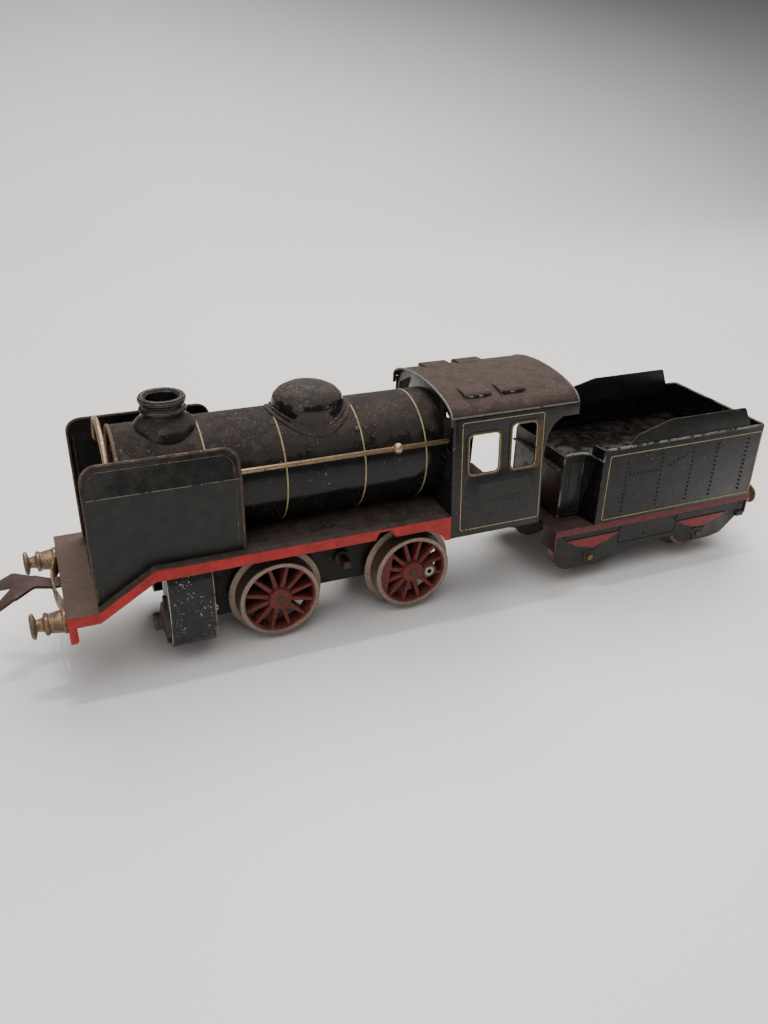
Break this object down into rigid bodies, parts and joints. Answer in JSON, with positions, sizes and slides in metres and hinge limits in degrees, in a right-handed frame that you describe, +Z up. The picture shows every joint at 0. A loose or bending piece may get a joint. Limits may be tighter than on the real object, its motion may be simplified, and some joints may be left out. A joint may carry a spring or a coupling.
{
  "type": "toy steam train locomotive with tender",
  "caption": "Clockwork tin toy steam locomotive with smoke deflectors, cab, coupled high-sided tender, spoked flanged wheels, buffers and swinging hook couplings.",
  "frame": {"origin": "on the floor plane under the wheel flanges, at the middle of the overall length and width", "axes": "+X towards the tender, so the locomotive runs towards -X; +Z up; +Y the locomotive's right-hand side"},
  "size_m": [0.318, 0.0576, 0.0919],
  "materials": {
    "black_tin": "satin black-green enamel on tinplate, dusty and chipped",
    "red_tin": "satin red enamel on tinplate, chipped",
    "roof_brown": "dull dusty black-brown enamel",
    "wheel_red": "red enamel on cast wheel, tread worn to bare metal",
    "brass": "tarnished brass",
    "gold_tin": "gold lacquered tinplate",
    "rusty_steel": "browned steel",
    "steel": "dull bright steel",
    "spring_steel": "blued spring steel"
  },
  "bodies": {
    "locomotive": {"board_screws": "steel", "boiler_barrel": "black_tin", "buffer_beam": "red_tin", "cab_body": "black_tin", "cab_floor": "black_tin", "cab_roof": "roof_brown", "cab_window_frames": "gold_tin", "chimney": "black_tin", "coupler_guide": "gold_tin", "cylinder_covers": "roof_brown", "cylinder_left": "black_tin", "cylinder_right": "black_tin", "front_buffers": "brass", "front_hook_pin": "steel", "handrail_knobs": "brass", "handrail_wire": "brass", "loco_drawbar_pin": "steel", "mainspring": "spring_steel", "motor_pillars": "steel", "motor_plate_left": "black_tin", "motor_plate_right": "black_tin", "motor_screws": "steel", "running_board": "red_tin", "smoke_deflector_left": "black_tin", "smoke_deflector_right": "black_tin", "smokebox_door": "black_tin", "steam_dome": "black_tin"},
    "front_wheelset": {"front_axle": "steel", "front_driver_left": "wheel_red", "front_driver_right": "wheel_red"},
    "rear_wheelset": {"rear_axle": "steel", "rear_driver_left": "wheel_red", "rear_driver_right": "wheel_red", "crank_eyelets": "steel", "axle_gear": "brass"},
    "great_wheel_body": {"great_wheel": "brass"},
    "click_body": {"ratchet_click": "steel"},
    "intermediate_body": {"intermediate_gear": "brass"},
    "governor_body": {"governor_spindle": "brass"},
    "winding_body": {"winding_arbor": "steel"},
    "brake_lever": {"brake_rod": "black_tin"},
    "reversing_lever": {"reversing_rod": "black_tin"},
    "front_hook": {"front_coupler_hook": "rusty_steel"},
    "drawbar_body": {"drawbar": "black_tin"},
    "tender": {"tender_frame": "black_tin", "tender_body": "black_tin", "bunker_floor": "black_tin", "tender_front_plate": "roof_brown", "coping_boards": "steel", "tender_side_frame_left": "black_tin", "tender_side_frame_right": "black_tin", "tender_buffers": "brass", "tender_drawbar_pin": "steel", "rear_hook_pin": "steel"},
    "tender_front_wheelset": {"tender_front_axle": "steel", "tender_front_wheels": "steel"},
    "tender_rear_wheelset": {"tender_rear_axle": "steel", "tender_rear_wheels": "steel"},
    "rear_hook": {"rear_coupler_hook": "rusty_steel"}
  },
  "joints": [
    {"name": "front_wheels_spin", "type": "hinge", "parent": "locomotive", "child": "front_wheelset", "pos_m": [-0.0655, 0, 0.0175], "axis": [0, 1, 0], "continuous": true},
    {"name": "rear_wheels_spin", "type": "hinge", "parent": "locomotive", "child": "rear_wheelset", "pos_m": [-0.013, 0, 0.0175], "axis": [0, 1, 0], "continuous": true},
    {"name": "intermediate_spin", "type": "hinge", "parent": "locomotive", "child": "intermediate_body", "pos_m": [-0.023, 0, 0.0258], "axis": [0, 1, 0], "continuous": true},
    {"name": "great_wheel_spin", "type": "hinge", "parent": "locomotive", "child": "great_wheel_body", "pos_m": [-0.039, 0, 0.025], "axis": [0, 1, 0], "continuous": true},
    {"name": "governor_spin", "type": "hinge", "parent": "locomotive", "child": "governor_body", "pos_m": [-0.0178, 0, 0.0349], "axis": [0, 1, 0], "continuous": true},
    {"name": "click_pivot", "type": "hinge", "parent": "great_wheel_body", "child": "click_body", "pos_m": [-0.0308, 0.0098, 0.025], "axis": [0, 1, 0], "range_deg": [0, 10]},
    {"name": "winding_turn", "type": "hinge", "parent": "locomotive", "child": "winding_body", "pos_m": [-0.039, 0, 0.025], "axis": [0, 1, 0], "continuous": true},
    {"name": "brake_rod_slide", "type": "slide", "parent": "locomotive", "child": "brake_lever", "axis": [1, 0, 0], "range_m": [-0.004, 0]},
    {"name": "reversing_rod_slide", "type": "slide", "parent": "locomotive", "child": "reversing_lever", "axis": [1, 0, 0], "range_m": [-0.004, 0.004]},
    {"name": "front_hook_swing", "type": "hinge", "parent": "locomotive", "child": "front_hook", "pos_m": [-0.125, 0, 0.0287], "axis": [0, 0, 1], "range_deg": [-12, 12]},
    {"name": "drawbar_swing", "type": "hinge", "parent": "locomotive", "child": "drawbar_body", "pos_m": [0.023, 0, 0.0245], "axis": [0, 0, 1], "range_deg": [-8, 8]},
    {"name": "tender_swing", "type": "hinge", "parent": "drawbar_body", "child": "tender", "pos_m": [0.049, 0, 0.0245], "axis": [0, 0, 1], "range_deg": [-8, 8]},
    {"name": "tender_front_wheels_spin", "type": "hinge", "parent": "tender", "child": "tender_front_wheelset", "pos_m": [0.064, 0, 0.0115], "axis": [0, 1, 0], "continuous": true},
    {"name": "tender_rear_wheels_spin", "type": "hinge", "parent": "tender", "child": "tender_rear_wheelset", "pos_m": [0.12, 0, 0.0115], "axis": [0, 1, 0], "continuous": true},
    {"name": "rear_hook_swing", "type": "hinge", "parent": "tender", "child": "rear_hook", "pos_m": [0.133, 0, 0.0227], "axis": [0, 0, 1], "range_deg": [-12, 12]}
  ],
  "couplings": [
    {"joint": "intermediate_spin", "follows": "rear_wheels_spin", "ratio": -0.625},
    {"joint": "great_wheel_spin", "follows": "rear_wheels_spin", "ratio": 0.14423},
    {"joint": "governor_spin", "follows": "rear_wheels_spin", "ratio": 2}
  ]
}
